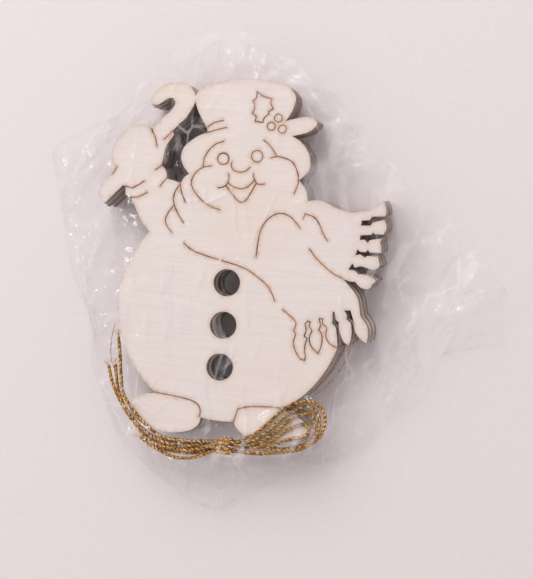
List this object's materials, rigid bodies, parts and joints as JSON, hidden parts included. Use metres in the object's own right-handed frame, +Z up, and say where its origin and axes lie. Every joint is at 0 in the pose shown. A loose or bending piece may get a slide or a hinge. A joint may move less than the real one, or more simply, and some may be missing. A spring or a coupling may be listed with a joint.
{
  "type": "packed wooden snowman hanging ornaments",
  "caption": "Flat laser-cut plywood snowman ornaments with engraved faces, stacked in a clear film bag with a label card and a knotted bundle of gold hanging cords.",
  "frame": {"origin": "on the underside of the bag's back film, below the centre of the top snowman's round belly", "axes": "+Z up out of the engraved faces, through the pack's thickness; +Y from the feet to the hats; +X towards the flying scarf ends"},
  "size_m": [0.1361, 0.1348, 0.0169],
  "materials": {
    "plywood": "raw sanded plywood with charred laser-cut edges",
    "gold_cord": "twisted metallic thread",
    "clear_film": "clear glossy film",
    "label_card": "satin printed card"
  },
  "bodies": {
    "bag": {"bag_back_film": "clear_film", "bag_front_film": "clear_film", "label_card": "label_card", "cord_knot": "gold_cord", "cord_loop_1": "gold_cord", "cord_loop_2": "gold_cord", "cord_loop_3": "gold_cord", "cord_loop_4": "gold_cord", "cord_end_1": "gold_cord", "cord_end_2": "gold_cord", "cord_end_3": "gold_cord", "cord_end_4": "gold_cord", "cord_end_5": "gold_cord", "cord_end_6": "gold_cord", "cord_end_7": "gold_cord", "cord_end_8": "gold_cord"},
    "ornament_1": {"snowman_1": "plywood"},
    "ornament_2": {"snowman_2": "plywood"},
    "ornament_3": {"snowman_3": "plywood"},
    "ornament_4": {"snowman_4": "plywood"}
  },
  "joints": [
    {"name": "slide_out_1", "type": "slide", "parent": "bag", "child": "ornament_1", "axis": [0.6559, 0.7549, 0], "range_m": [0, 0.115]},
    {"name": "slide_out_2", "type": "slide", "parent": "bag", "child": "ornament_2", "axis": [0.6559, 0.7549, 0], "range_m": [0, 0.115]},
    {"name": "slide_out_3", "type": "slide", "parent": "bag", "child": "ornament_3", "axis": [0.6559, 0.7549, 0], "range_m": [0, 0.115]},
    {"name": "slide_out_4", "type": "slide", "parent": "bag", "child": "ornament_4", "axis": [0.6559, 0.7549, 0], "range_m": [0, 0.115]}
  ]
}
